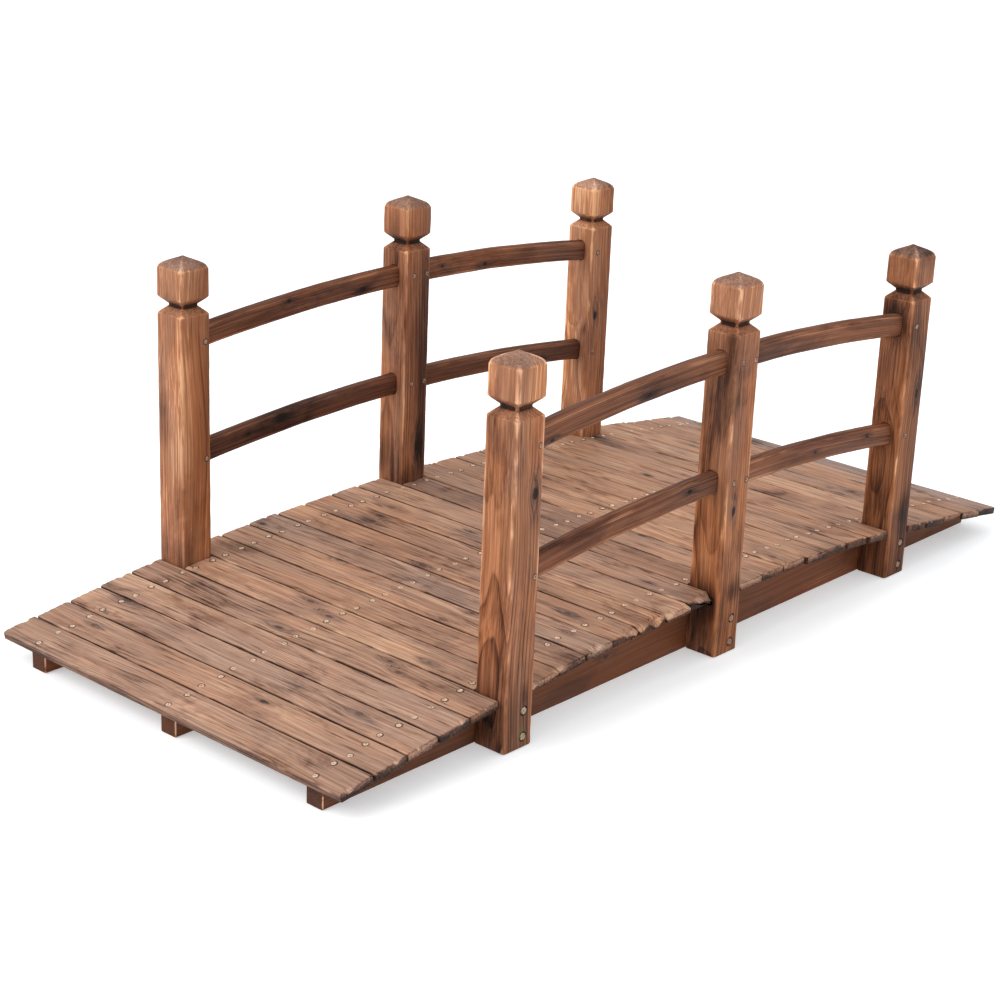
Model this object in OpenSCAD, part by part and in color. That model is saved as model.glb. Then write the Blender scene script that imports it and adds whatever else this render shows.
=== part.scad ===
// Arched wooden footbridge: a slatted deck on three stringers, six posts and eight curved rails.
// X runs along the walkway, Y across it, Z up from the ground. The origin is the middle of the base.

/* [Deck] */
// Length of the deck along the walkway (mm)
deck_length = 1524; // [1300:1:1900]
// Length of a deck board, across the walkway (mm)
board_length = 674; // [660:1:700]
// Thickness of a deck board (mm)
board_thickness = 12; // [8:0.5:16]
// Gap between two boards (mm)
board_gap = 2.5; // [1.5:0.1:6]
// Height the top of the deck gains from its ends to the middle (mm)
arch_rise = 59; // [20:1:90]
// Height of the top of the deck at its two ends (mm)
end_height = 41; // [30:1:70]
// Rounding of the upper long edges of a board (mm)
board_round = 3; // [1:0.5:4]

/* [Stringers] */
// Thickness of a stringer (mm)
stringer_thickness = 28.5; // [20:0.5:40]
// How far a stringer stops short of the end of the deck (mm)
stringer_setback = 9.5; // [2:0.5:30]

/* [Posts] */
// Side of a square post (mm)
post_size = 52.5; // [40:0.5:52.5]
// Clear width between the two rows of posts (mm)
walkway_width = 582; // [500:1:620]
// Height of the four end posts (mm)
end_post_height = 534.5; // [500:0.5:700]
// How much taller the two middle posts are (mm)
middle_post_extra = 27.5; // [0:0.5:60]
// Rounding of the upright edges of a post (mm)
post_round = 3; // [1:0.5:5]

/* [Post heads] */
// Height of the square head above its neck, with its pyramid top (mm)
head_height = 58.5; // [50:0.5:80]
// Height of the pyramid top (mm)
head_top_height = 16.5; // [8:0.5:24]
// Height of the groove between the shaft and the head (mm)
neck_height = 24; // [16:0.5:36]
// Width of the square neck (mm)
neck_width = 30; // [20:0.5:36]

/* [Rails] */
// Thickness of a rail, across the walkway (mm)
rail_thickness = 20; // [14:0.5:26]
// Depth of a rail from top to bottom (mm)
rail_depth = 34; // [24:0.5:44]
// Height of the middle line of the upper rails where they cross the middle of the bridge (mm)
upper_rail_height = 438.5; // [400:0.5:450]
// Height of the middle line of the lower rails where they cross the middle of the bridge (mm)
lower_rail_height = 262.5; // [200:0.5:320]
// Radius of the curve of the rails (mm)
rail_radius = 3500; // [2500:10:6000]
// How far a rail goes into each post (mm)
tenon_depth = 20; // [10:0.5:24]

/* [Fits] */
// Clearance all round between a rail and its mortise (mm)
mortise_gap = 0.3; // [0.2:0.05:0.6]
// Gap left between seated boards, stringers and posts (mm)
seat_gap = 0.1; // [0.05:0.05:0.3]

/* [Hidden] */

$fn = 64;
board_count = 27;
middle_board = 14;
bay_boards = 8; // boards from one post to the next
half_deck = deck_length / 2;

// The deck follows a circle through its two ends and its crown.
deck_radius = (half_deck * half_deck + arch_rise * arch_rise) / (2 * arch_rise);
deck_centre = end_height + arch_rise - deck_radius;
board_angle = 2 * asin((half_deck + board_gap / 2) / deck_radius) / board_count;
board_pitch = 2 * deck_radius * sin(board_angle / 2);
board_width = board_pitch - board_gap;
bay = deck_radius * sin(bay_boards * board_angle);

// The stringers carry the boards on an arc one board lower.
seat_radius = deck_radius - board_thickness - seat_gap;
stringer_length = deck_length - 2 * stringer_setback;
stringer_height = deck_centre + seat_radius;
stringer_y = walkway_width / 2 - stringer_thickness / 2;

post_y = walkway_width / 2 + post_size / 2;
post_face_gap = seat_gap; // between a stringer and the posts bolted to it
short_board_length = walkway_width - 2 * seat_gap;

neck_flat = neck_height / 8;
head_taper = post_size * 0.1;
head_chamfer_height = head_top_height * 0.42;
head_flat = post_size * 0.06;

rail_round = rail_thickness * 0.38;
rail_reach = bay - post_size / 2 + tenon_depth; // how far out the outer end of a rail lies
rail_start = post_size / 2 - tenon_depth; // how far out its inner end lies

// One deck board as it lies at the crown, with its upper long edges rounded.
module boardBlank(length) {
    rotate([90, 0, 0])
        translate([0, 0, -length / 2])
            linear_extrude(height = length)
                union() {
                    translate([-board_width / 2, -board_thickness])
                        square([board_width, board_thickness - board_round]);
                    translate([-board_width / 2 + board_round, -board_thickness])
                        square([board_width - 2 * board_round, board_thickness]);
                    for (side = [-1, 1])
                        translate([side * (board_width / 2 - board_round), -board_round])
                            circle(r = board_round);
                }
}

// Board number n, counted from the left end. The boards between two posts are cut short.
module deckBoard(n) {
    between_posts = abs(n - middle_board) % bay_boards == 0;
    color([0.52, 0.37, 0.27])
        translate([0, 0, deck_centre])
            rotate([0, (n - middle_board) * board_angle, 0])
                translate([0, 0, deck_radius])
                    boardBlank(between_posts ? short_board_length : board_length);
}

// A stringer has a flat foot, upright ends and an arched top.
module stringer(y) {
    thickness = stringer_thickness - post_face_gap;
    color([0.44, 0.26, 0.17])
        translate([0, y, 0])
            intersection() {
                translate([-stringer_length / 2, -thickness / 2, 0])
                    cube([stringer_length, thickness, stringer_height * 2]);
                translate([0, thickness / 2 + 1, deck_centre])
                    rotate([90, 0, 0])
                        cylinder(r = seat_radius, h = thickness + 2, $fn = 360);
            }
}

// Side view of a post: shaft, groove, square head and low pyramid top.
module postOutline(height) {
    neck_top = height - head_height;
    shoulder = neck_top - neck_height;
    slope = (neck_height - neck_flat) / 2;
    half = post_size / 2;
    polygon([
        [-half, 0], [half, 0], [half, shoulder],
        [neck_width / 2, shoulder + slope], [neck_width / 2, shoulder + slope + neck_flat],
        [half, neck_top], [half, height - head_top_height],
        [half - head_taper, height - head_top_height + head_chamfer_height],
        [head_flat, height], [-head_flat, height],
        [-half + head_taper, height - head_top_height + head_chamfer_height],
        [-half, height - head_top_height], [-half, neck_top],
        [-neck_width / 2, shoulder + slope + neck_flat], [-neck_width / 2, shoulder + slope],
        [-half, shoulder]
    ]);
}

// The post seen from above, a square with rounded corners.
module postPlan() {
    inner = post_size - 2 * post_round;
    square([post_size, inner], center = true);
    square([inner, post_size], center = true);
    for (x = [-1, 1], y = [-1, 1])
        translate([x * inner / 2, y * inner / 2])
            circle(r = post_round);
}

module postBlank(height) {
    intersection() {
        linear_extrude(height = height)
            postPlan();
        translate([0, post_size / 2 + 1, 0])
            rotate([90, 0, 0])
                linear_extrude(height = post_size + 2)
                    postOutline(height);
        translate([-post_size / 2 - 1, 0, 0])
            rotate([90, 0, 90])
                linear_extrude(height = post_size + 2)
                    postOutline(height);
    }
}

// Cross-section of a rail, upright, made larger all round by grow.
module railSection(grow) {
    width = rail_thickness + 2 * grow;
    depth = rail_depth + 2 * grow;
    radius = rail_round + grow;
    square([depth, width - 2 * radius], center = true);
    square([depth - 2 * radius, width], center = true);
    for (x = [-1, 1], y = [-1, 1])
        translate([x * (depth / 2 - radius), y * (width / 2 - radius)])
            circle(r = radius);
}

// A curved bar from x = from to x = to, whose middle line crosses x = 0 at the height given.
module railBar(height, from, to, grow) {
    first = asin(from / rail_radius);
    last = asin(to / rail_radius);
    translate([0, 0, height - rail_radius])
        rotate([90, 0, 0])
            rotate([0, 0, 90 - last])
                rotate_extrude(angle = last - first, $fn = 360)
                    translate([rail_radius, 0])
                        railSection(grow);
}

// side is 1 for the far row and -1 for the near one, end is 1 for the right bay and -1 for the left.
module rail(side, end, height) {
    color([0.36, 0.2, 0.14])
        translate([0, side * post_y, 0])
            railBar(height, end > 0 ? rail_start : -rail_reach, end > 0 ? rail_reach : -rail_start, 0);
}

// The mortises of the post at x, cut a little deeper than the rails go in.
// Each cut starts well outside the post, because its ends are square to the curve of the rail.
module mortises(x) {
    deep = tenon_depth + mortise_gap;
    outside = rail_depth / 2;
    for (height = [upper_rail_height, lower_rail_height]) {
        if (x < bay / 2)
            railBar(height, x + post_size / 2 - deep, x + post_size / 2 + outside, mortise_gap);
        if (x > -bay / 2)
            railBar(height, x - post_size / 2 - outside, x - post_size / 2 + deep, mortise_gap);
    }
}

// place is -1, 0 or 1 along the row.
module post(side, place) {
    height = end_post_height + (place == 0 ? middle_post_extra : 0);
    color([0.56, 0.34, 0.22])
        translate([0, side * post_y, 0])
            difference() {
                translate([place * bay, 0, 0])
                    postBlank(height);
                mortises(place * bay);
            }
}

deckBoard(1);  // deck_board_01
deckBoard(2);  // deck_board_02
deckBoard(3);  // deck_board_03
deckBoard(4);  // deck_board_04
deckBoard(5);  // deck_board_05
deckBoard(6);  // deck_board_06
deckBoard(7);  // deck_board_07
deckBoard(8);  // deck_board_08
deckBoard(9);  // deck_board_09
deckBoard(10);  // deck_board_10
deckBoard(11);  // deck_board_11
deckBoard(12);  // deck_board_12
deckBoard(13);  // deck_board_13
deckBoard(14);  // deck_board_14
deckBoard(15);  // deck_board_15
deckBoard(16);  // deck_board_16
deckBoard(17);  // deck_board_17
deckBoard(18);  // deck_board_18
deckBoard(19);  // deck_board_19
deckBoard(20);  // deck_board_20
deckBoard(21);  // deck_board_21
deckBoard(22);  // deck_board_22
deckBoard(23);  // deck_board_23
deckBoard(24);  // deck_board_24
deckBoard(25);  // deck_board_25
deckBoard(26);  // deck_board_26
deckBoard(27);  // deck_board_27
stringer(-stringer_y);  // stringer_near
stringer(0);  // stringer_middle
stringer(stringer_y);  // stringer_far
post(-1, -1);  // post_near_left
post(-1, 0);  // post_near_middle
post(-1, 1);  // post_near_right
post(1, -1);  // post_far_left
post(1, 0);  // post_far_middle
post(1, 1);  // post_far_right
rail(-1, -1, upper_rail_height);  // upper_rail_near_left
rail(-1, 1, upper_rail_height);  // upper_rail_near_right
rail(-1, -1, lower_rail_height);  // lower_rail_near_left
rail(-1, 1, lower_rail_height);  // lower_rail_near_right
rail(1, -1, upper_rail_height);  // upper_rail_far_left
rail(1, 1, upper_rail_height);  // upper_rail_far_right
rail(1, -1, lower_rail_height);  // lower_rail_far_left
rail(1, 1, lower_rail_height);  // lower_rail_far_right
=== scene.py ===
import bpy
import math
import numpy as np
from mathutils import Matrix, Vector


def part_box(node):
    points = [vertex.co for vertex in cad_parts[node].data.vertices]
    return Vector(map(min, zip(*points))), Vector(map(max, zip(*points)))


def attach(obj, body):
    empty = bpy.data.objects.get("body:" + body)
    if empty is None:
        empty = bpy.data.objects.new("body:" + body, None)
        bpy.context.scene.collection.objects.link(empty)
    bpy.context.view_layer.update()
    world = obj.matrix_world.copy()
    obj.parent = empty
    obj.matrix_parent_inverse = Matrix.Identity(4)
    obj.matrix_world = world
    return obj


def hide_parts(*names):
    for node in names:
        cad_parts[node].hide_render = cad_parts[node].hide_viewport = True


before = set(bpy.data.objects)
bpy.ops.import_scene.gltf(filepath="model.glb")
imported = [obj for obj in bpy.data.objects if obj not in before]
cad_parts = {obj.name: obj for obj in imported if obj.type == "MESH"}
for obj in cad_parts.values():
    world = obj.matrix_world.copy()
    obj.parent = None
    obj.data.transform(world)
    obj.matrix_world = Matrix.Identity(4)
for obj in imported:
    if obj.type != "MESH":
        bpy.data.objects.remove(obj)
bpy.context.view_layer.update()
scene = bpy.context.scene

mm = 0.001


def span(node):
    low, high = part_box(node)
    return np.array(low), np.array(high)


def waves(seed, count, longest):
    # a smooth wandering line: a few sines with fixed random phases, about -1 to 1
    draw = np.random.default_rng(seed)
    phases = draw.uniform(0, 2 * math.pi, count)
    lengths = longest / draw.uniform(1, 3.2, count)
    sizes = draw.uniform(0.4, 1, count)

    def line(t):
        t = np.asarray(t, float)
        total = sum(s * np.sin(2 * math.pi * t / l + p) for s, l, p in zip(sizes, lengths, phases))
        return total / sizes.sum()
    return line


def bands(ringCount, pointCount, start=0, flip=False, closed=False):
    # the four-sided faces from each loop of points to the next, and from the last to the first if closed
    faces = []
    for ring in range(ringCount if closed else ringCount - 1):
        a, b = start + ring * pointCount, start + (ring + 1) % ringCount * pointCount
        for k in range(pointCount):
            j = (k + 1) % pointCount
            faces.append((a + k, b + k, b + j, a + j) if flip else (a + k, a + j, b + j, b + k))
    return faces


def turned(sizes, count):
    # loops of points round the upright axis, one for each radius and height
    angles = [2 * math.pi * k / count for k in range(count)]
    return np.array([(r * math.cos(a), r * math.sin(a), z) for r, z in sizes for a in angles])


def skin(name, rings):
    # rings is an array (rings, points, 3): one closed loop of points after another, capped at both ends
    ringCount, pointCount = rings.shape[:2]
    faces = bands(ringCount, pointCount)
    faces.append(tuple(reversed(range(pointCount))))
    faces.append(tuple(range((ringCount - 1) * pointCount, ringCount * pointCount)))
    mesh = bpy.data.meshes.new(name)
    mesh.from_pydata(rings.reshape(-1, 3).tolist(), [], faces)
    mesh.update()
    return mesh


def place(name, mesh, smoothAngle=32):
    piece = bpy.data.objects.new(name, mesh)
    scene.collection.objects.link(piece)
    mesh.shade_smooth()
    mesh.set_sharp_from_angle(angle=math.radians(smoothAngle))
    return piece


def points(mesh):
    co = np.empty(len(mesh.vertices) * 3)
    mesh.vertices.foreach_get("co", co)
    return co.reshape(-1, 3)


def note(mesh, name, kind, values):
    # stores one value for each point of the mesh, which the materials read
    layer = mesh.attributes.new(name, kind, "POINT")
    layer.data.foreach_set("vector" if kind == "FLOAT_VECTOR" else "value", np.asarray(values, float).ravel())


def growWood(mesh, along, across, depth, wood, burn=0.0, calm=1.0, grey=0.0):
    # writes how the tree grew into the mesh. along runs with the trunk, across and depth are
    # measured from the middle of the piece. pith is where the heart of the trunk lies, drift
    # how much it wanders, knots are branches (along, across, size).
    u, v, w = along.copy(), across.copy(), depth.copy()
    nearest = np.tile((9.0, 9.0, 0.0), (len(u), 1))
    best = np.full(len(u), 1e9)
    for knotU, knotV, radius in wood["knots"]:
        du, dv = u - knotU, v - knotV
        spread = np.exp(-(du / (5 * radius)) ** 2 - (dv / (2.6 * radius)) ** 2)
        v = v - 0.8 * dv * spread
        w = w + wood["lift"] * radius * spread
        far = np.hypot(du * 0.4, dv) / radius
        closer = far < best
        best[closer] = far[closer]
        here = np.clip((5 - far) / 2, 0, 1)
        nearest[closer] = np.stack([du / radius, dv / radius, here], 1)[closer]
    line = waves(wood["seed"] + 900, 4, 0.9)
    v = v - wood["pith"][0] + wood["drift"] * line(u)
    w = w - wood["pith"][1] + 0.6 * wood["drift"] * line(u * 0.8 + 3)
    note(mesh, "grain", "FLOAT_VECTOR", np.stack([u + wood["seed"] * 1.7, v, w], 1))
    note(mesh, "knot", "FLOAT_VECTOR", nearest)
    tone = np.tile(np.array(wood["tone"], float), (len(u), 1))
    tone[:, 0] += burn
    tone[:, 1] += grey
    tone[:, 2] *= calm
    note(mesh, "tone", "FLOAT_VECTOR", tone)


def scatterKnots(draw, count, along, across, size):
    # knots for growWood, each drawn from the ranges given, with its size in mm
    return [(draw.uniform(*along), draw.uniform(*across), draw.uniform(*size) * mm) for _ in range(count)]


class Nodes:
    def __init__(self, name):
        self.material = bpy.data.materials.new(name)
        self.material.use_nodes = True
        self.tree = self.material.node_tree
        self.tree.nodes.clear()

    def add(self, kind, **sockets):
        node = self.tree.nodes.new(kind)
        for key, value in sockets.items():
            if key.startswith("_"):
                setattr(node, key[1:], value)
            else:
                self.set(node.inputs[key.replace("_", " ")], value)
        return node

    def set(self, socket, value):
        if isinstance(value, bpy.types.NodeSocket):
            self.tree.links.new(value, socket)
        else:
            socket.default_value = value

    def math(self, operation, a, b=0.0, c=0.0, clamp=False):
        node = self.tree.nodes.new("ShaderNodeMath")
        node.operation = operation
        node.use_clamp = clamp
        for socket, value in zip(node.inputs, (a, b, c)):
            self.set(socket, value)
        return node.outputs[0]

    def plus(self, *parts):
        total = parts[0]
        for part in parts[1:]:
            total = self.math("ADD", total, part)
        return total

    def times(self, a, b):
        return self.math("MULTIPLY", a, b)

    def vec(self, operation, a, b=None):
        node = self.tree.nodes.new("ShaderNodeVectorMath")
        node.operation = operation
        self.set(node.inputs[0], a)
        if operation == "LENGTH":
            return node.outputs["Value"]
        self.set(node.inputs[1], b)
        return node.outputs[0]

    def split(self, vector):
        return self.add("ShaderNodeSeparateXYZ", Vector=vector).outputs

    def join(self, x, y, z):
        node = self.add("ShaderNodeCombineXYZ")
        for socket, value in zip(node.inputs, (x, y, z)):
            self.set(socket, value)
        return node.outputs[0]

    def noise(self, vector, scale=1.0, detail=2.0, rough=0.5, twist=0.0, output="Fac"):
        node = self.add("ShaderNodeTexNoise", Vector=vector, Scale=scale, Detail=detail,
            Roughness=rough, Distortion=twist)
        return node.outputs[output]

    def step(self, value, low, high, outLow=0.0, outHigh=1.0):
        node = self.add("ShaderNodeMapRange", _interpolation_type="SMOOTHSTEP", _clamp=True)
        names = ("Value", "From Min", "From Max", "To Min", "To Max")
        for key, number in zip(names, (value, low, high, outLow, outHigh)):
            self.set(node.inputs[key], number)
        return node.outputs[0]

    def ramp(self, value, stops):
        node = self.add("ShaderNodeValToRGB", Fac=value)
        ramp = node.color_ramp
        while len(ramp.elements) < len(stops):
            ramp.elements.new(0.5)
        for element, (at, colour) in zip(ramp.elements, stops):
            element.position = at
            element.color = (*colour, 1)
        return node.outputs[0]

    def mix(self, amount, a, b, blend="MIX"):
        node = self.add("ShaderNodeMix", _data_type="RGBA", _blend_type=blend, _clamp_factor=True)
        self.set(node.inputs[0], amount)
        for socket, value in ((node.inputs[6], a), (node.inputs[7], b)):
            if isinstance(value, tuple) and len(value) == 3:
                value = (*value, 1)
            self.set(socket, value)
        return node.outputs[2]

    def read(self, name):
        return self.add("ShaderNodeAttribute", _attribute_name=name).outputs


# how burnt the wood must be for each colour of a look
shades = ((0.0, "rubbedAndHighlit"), (0.2, "pale"), (0.45, "stain"), (0.72, "dark"), (1.0, "char"))
# how dark the wood gets through one year, from spring to the next spring
lateWood = ((0.0, 0.0), (0.55, 0.08), (0.84, 0.65), (0.94, 1.0), (1.0, 0.0))


def stainedFir(name, look):
    # burnt and stained fir: everything that darkens the wood, painted shade too, is added up as burn
    n = Nodes(name)
    grain = n.read("grain")["Vector"]
    knot = n.split(n.read("knot")["Vector"])
    tone = n.split(n.read("tone")["Vector"])
    wearAndPaintedLight = n.read("wearAndPaintedLight")["Fac"]

    def figure(scale, shift=None, **style):
        # noise that follows the grain, with so many waves a metre along it, across it and into the depth
        at = n.vec("MULTIPLY", grain, scale)
        if shift:
            at = n.vec("ADD", at, shift)
        return n.noise(at, **style)

    def swing(value, amount):
        return n.times(n.math("SUBTRACT", value, 0.5), 2 * amount)

    # growth rings round the heart of the trunk, a little uneven
    bend = n.split(n.vec("SUBTRACT", figure((2.2, 22, 22), output="Color"), (0.5, 0.5, 0.5)))
    _, v, w = n.split(grain)
    v = n.math("MULTIPLY_ADD", bend[0], look["ringBend"], v)
    w = n.math("MULTIPLY_ADD", bend[1], look["ringBend"], w)
    year = n.times(n.vec("LENGTH", n.join(v, w, 0.0)), 1 / look["ringWidth"])
    year = n.math("MULTIPLY_ADD", figure((1.5, 60, 60), detail=1), 0.7, year)
    late = n.ramp(n.math("FRACT", year), [(at, (dark,) * 3) for at, dark in lateWood])
    yearTone = n.noise(n.join(n.math("FLOOR", year), 0.37, 0.0), scale=1.7, detail=0)
    late = n.times(n.times(late, n.step(yearTone, 0.25, 0.7, 0.35, 1.0)), tone[2])

    # fibres, streaks and uneven burning
    streak = figure(look["streak"], detail=6, rough=0.72)
    fibre = n.math("MINIMUM", n.plus(tone[2], 0.2), 1.0)
    hair = n.step(figure((5, 340, 340), detail=4, rough=0.65), 0.36, 0.62)
    cloud = figure(look["cloud"], detail=5, rough=0.62, twist=0.5)
    smoke = n.step(figure(look["smoke"], (11, 5, 2), detail=5, rough=0.6, twist=0.8), 0.5, 0.68)
    patch = figure((2.6, 11, 11), (7, 3, 1), detail=3, rough=0.5)
    fleck = figure((13, 270, 270), (3, 9, 4), detail=3, rough=0.55)
    burn = n.plus(
        tone[0], look["base"], n.times(late, look["ringDepth"]),
        n.times(swing(streak, look["streakDepth"]), fibre), n.times(smoke, look["smokeDepth"]),
        swing(hair, look["hairDepth"]), n.step(fleck, 0.56, 0.7, 0.0, look["fleckDepth"]),
        swing(patch, look["patchDepth"]), n.step(cloud, 0.53, 0.72, 0.0, look["cloudDepth"]),
    )

    # knots, with a wide dark halo and a darker heart
    rough = figure((70, 110, 110), detail=3)
    far = n.vec("LENGTH", n.join(n.times(knot[0], 0.6), knot[1], 0.0))
    core = n.times(n.step(n.plus(far, swing(rough, 0.75)), 1.25, 0.45), knot[2])
    wide = n.vec("LENGTH", n.join(n.times(knot[0], 0.28), knot[1], 0.0))
    halo = n.times(n.step(n.plus(wide, swing(cloud, 1.5)), 3.0, 0.4), knot[2])
    burn = n.plus(burn, n.times(halo, look["haloDepth"]), n.times(core, look["knotDepth"]))

    # arrises rubbed pale, partly as a painted highlight; painted shade darkens hollows, gaps and undersides,
    # along with darker end grain
    rubAndHighlightNoise = n.step(figure((16, 50, 50), detail=3), 0.32, 0.58)
    rubAndHighlight = n.times(n.step(wearAndPaintedLight, 0.15, 0.9), rubAndHighlightNoise)
    grimeAndShade = n.step(wearAndPaintedLight, -0.05, -1.0)
    burn = n.math("SUBTRACT", burn, n.times(rubAndHighlight, look["rubAndHighlightDepth"]))
    burn = n.math("ADD", burn, n.times(grimeAndShade, look["grimeAndShadeDepth"]), clamp=True)

    colour = n.ramp(burn, [(at, look[shade]) for at, shade in shades])
    patchGrey = n.step(patch, 0.42, 0.62, 0.0, look["greyDepth"])
    greyness = n.plus(tone[1], patchGrey, n.times(smoke, look["smokeGrey"]))
    greyness = n.math("ADD", greyness, n.times(halo, 0.12), clamp=True)
    greyed = n.add("ShaderNodeHueSaturation", Saturation=n.math("SUBTRACT", 1.0, greyness), Color=colour)
    warmth = n.step(figure((4, 26, 26), (5, 8, 2), detail=3, rough=0.55), 0.4, 0.62, 0.0, look["warmDepth"])
    colour = n.mix(warmth, greyed.outputs[0], (1.13, 0.95, 0.82), "MULTIPLY")
    if look["verdigris"]:
        green = n.times(n.read("verdigris")["Fac"], n.step(cloud, 0.35, 0.55))
        colour = n.mix(green, colour, look["verdigris"])

    relief = n.plus(n.times(streak, 0.9), n.times(hair, 0.5))
    relief = n.math("MULTIPLY_ADD", late, 0.4, relief)
    relief = n.math("SUBTRACT", relief, n.times(core, 0.6))
    bump = n.add("ShaderNodeBump", Strength=look["bump"], Distance=look["bumpHeight"], Height=relief)
    gloss = n.plus(look["rough"], swing(streak, 0.12), n.step(cloud, 0.4, 0.8, -0.05, 0.1))
    shader = n.add("ShaderNodeBsdfPrincipled", Base_Color=colour, Roughness=gloss, Normal=bump.outputs[0])
    shader.inputs["Specular IOR Level"].default_value = look["sheen"]
    n.add("ShaderNodeOutputMaterial", Surface=shader.outputs[0])
    return n.material


# each depth is how much that feature darkens the wood; streak, cloud and smoke are waves a metre
# rubbed is the palest colour: worn arrises, partly a painted highlight
deckLook = {
    "rubbedAndHighlit": (0.57, 0.345, 0.215), "pale": (0.385, 0.21, 0.128), "stain": (0.25, 0.123, 0.072),
    "dark": (0.1, 0.043, 0.024), "char": (0.024, 0.011, 0.007), "base": 0.2,
    "ringWidth": 3.0 * mm, "ringBend": 5 * mm, "ringDepth": 0.2, "streak": (2.2, 240, 240),
    "streakDepth": 0.28, "hairDepth": 0.1, "fleckDepth": 0.36, "patchDepth": 0.3, "cloud": (8, 19, 19),
    "cloudDepth": 0.3, "smoke": (6, 11, 11), "smokeDepth": 0.2, "smokeGrey": 0.07, "greyDepth": 0.08,
    "warmDepth": 0.36, "haloDepth": 0.3, "knotDepth": 0.16, "rubAndHighlightDepth": 0.25, "grimeAndShadeDepth": 0.62,
    "bump": 0.6, "bumpHeight": 0.6 * mm, "rough": 0.62, "sheen": 0.12, "verdigris": None,
}
postLook = dict(
    deckLook, rubbedAndHighlit=(0.68, 0.37, 0.2), pale=(0.38, 0.16, 0.074), stain=(0.225, 0.084, 0.035),
    dark=(0.078, 0.026, 0.011), char=(0.018, 0.008, 0.005), base=0.3, ringWidth=4.8 * mm,
    ringBend=9 * mm, ringDepth=0.27, streak=(1.7, 210, 210), streakDepth=0.25, fleckDepth=0.1,
    cloud=(6, 20, 20), cloudDepth=0.12, smoke=(5, 11, 11), smokeGrey=0.06, warmDepth=0.5,
    haloDepth=0.26, knotDepth=0.5, rubAndHighlightDepth=0.36, verdigris=(0.15, 0.14, 0.06),
)
railLook = dict(
    postLook, rubbedAndHighlit=(0.4, 0.2, 0.115), pale=(0.22, 0.088, 0.043), stain=(0.115, 0.041, 0.02),
    dark=(0.042, 0.0145, 0.008), char=(0.012, 0.006, 0.004), ringWidth=2.7 * mm, ringBend=2 * mm,
    streak=(1.2, 220, 220), rubAndHighlightDepth=0.4, verdigris=None,
)
stringerLook = dict(
    railLook, rubbedAndHighlit=(0.62, 0.36, 0.24), pale=(0.175, 0.059, 0.023), stain=(0.096, 0.031, 0.012),
    dark=(0.042, 0.0132, 0.006), ringDepth=0.1, streakDepth=0.12, hairDepth=0.05, fleckDepth=0.04,
    patchDepth=0.2, cloudDepth=0.06, smokeDepth=0.14, haloDepth=0.15, knotDepth=0.2, bump=0.3, rough=0.55,
)
# bright metal, dull spots, how many spots to the metre, roughness and how metallic
metals = {
    "screwZinc": ((0.82, 0.62, 0.47), (0.5, 0.32, 0.21), 300, 0.38, 0.75),
    "screwDull": ((0.42, 0.25, 0.165), (0.2, 0.105, 0.065), 300, 0.6, 0.2),
    "boltZinc": ((0.4, 0.31, 0.235), (0.2, 0.175, 0.1), 220, 0.45, 0.6),
    "boltRusty": ((0.3, 0.175, 0.115), (0.16, 0.08, 0.045), 260, 0.55, 0.4),
    # the dark ring round screw heads: crushed wood and painted shade
    "crushedWoodAndShade": ((0.05, 0.025, 0.015), (0.09, 0.05, 0.03), 400, 0.7, 0.0),
}


def metalFinish(name):
    bright, dull, spotScale, roughness, metallic = metals[name]
    n = Nodes(name)
    here = n.add("ShaderNodeTexCoord").outputs["Object"]
    spots = n.noise(here, scale=spotScale, detail=4, rough=0.6)
    colour = n.mix(n.step(spots, 0.45, 0.62), bright, dull)
    fine = n.noise(here, scale=900, detail=2)
    bump = n.add("ShaderNodeBump", Strength=0.25, Distance=0.15 * mm, Height=fine)
    gloss = n.step(spots, 0.4, 0.7, roughness, roughness + 0.25)
    shader = n.add("ShaderNodeBsdfPrincipled", Base_Color=colour, Roughness=gloss, Normal=bump.outputs[0])
    shader.inputs["Metallic"].default_value = metallic
    n.add("ShaderNodeOutputMaterial", Surface=shader.outputs[0])
    return n.material


print("finishes")
deckFir = stainedFir("deckFir", deckLook)
postFir = stainedFir("postFir", postLook)
railFir = stainedFir("railFir", railLook)
stringerFir = stainedFir("stringerFir", stringerLook)
screwZinc = metalFinish("screwZinc")
boltZinc = metalFinish("boltZinc")
boltRusty = metalFinish("boltRusty")
screwDull = metalFinish("screwDull")
crushedWoodAndShade = metalFinish("crushedWoodAndShade")


boards = {
    "count": 27, "cut": (6, 14, 22), "profile": 19, "ringEvery": 6 * mm, "fineEnd": 20 * mm,
    "round": 2.4 * mm, "ease": 1.3 * mm, "cornerSteps": 3, "cup": 0.35 * mm, "bow": 0.4 * mm,
    "widthSpread": 0.35 * mm, "endSpread": 4.5 * mm, "endRagged": 1.1 * mm, "twist": 0.0012,
    "chips": 5, "roughEnds": (6, 13), "chipReach": 14 * mm, "chipDepth": 7 * mm,
    # how far the ends stray towards the far side, at four places from the left of the deck to the right
    "stray": (0, 0.45, 0.8, 1),
    "strayNear": (0, -6 * mm, -8 * mm, -14 * mm),
    "strayFar": (9 * mm, 1 * mm, -4 * mm, -7 * mm),
    # boards burnt darker, or left paler, than the rest: how dark and how grey
    "burnt": {
        1: (0.11, 0.12), 2: (0.03, 0.04), 3: (-0.05, 0.0), 11: (0.05, 0.0),
        14: (0.13, 0.04), 15: (0.07, 0.0), 27: (0.22, 0.3),
    },
}
boardNames = ["deck_board_%02d" % (k + 1) for k in range(boards["count"])]
middle = boards["count"] // 2

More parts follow.
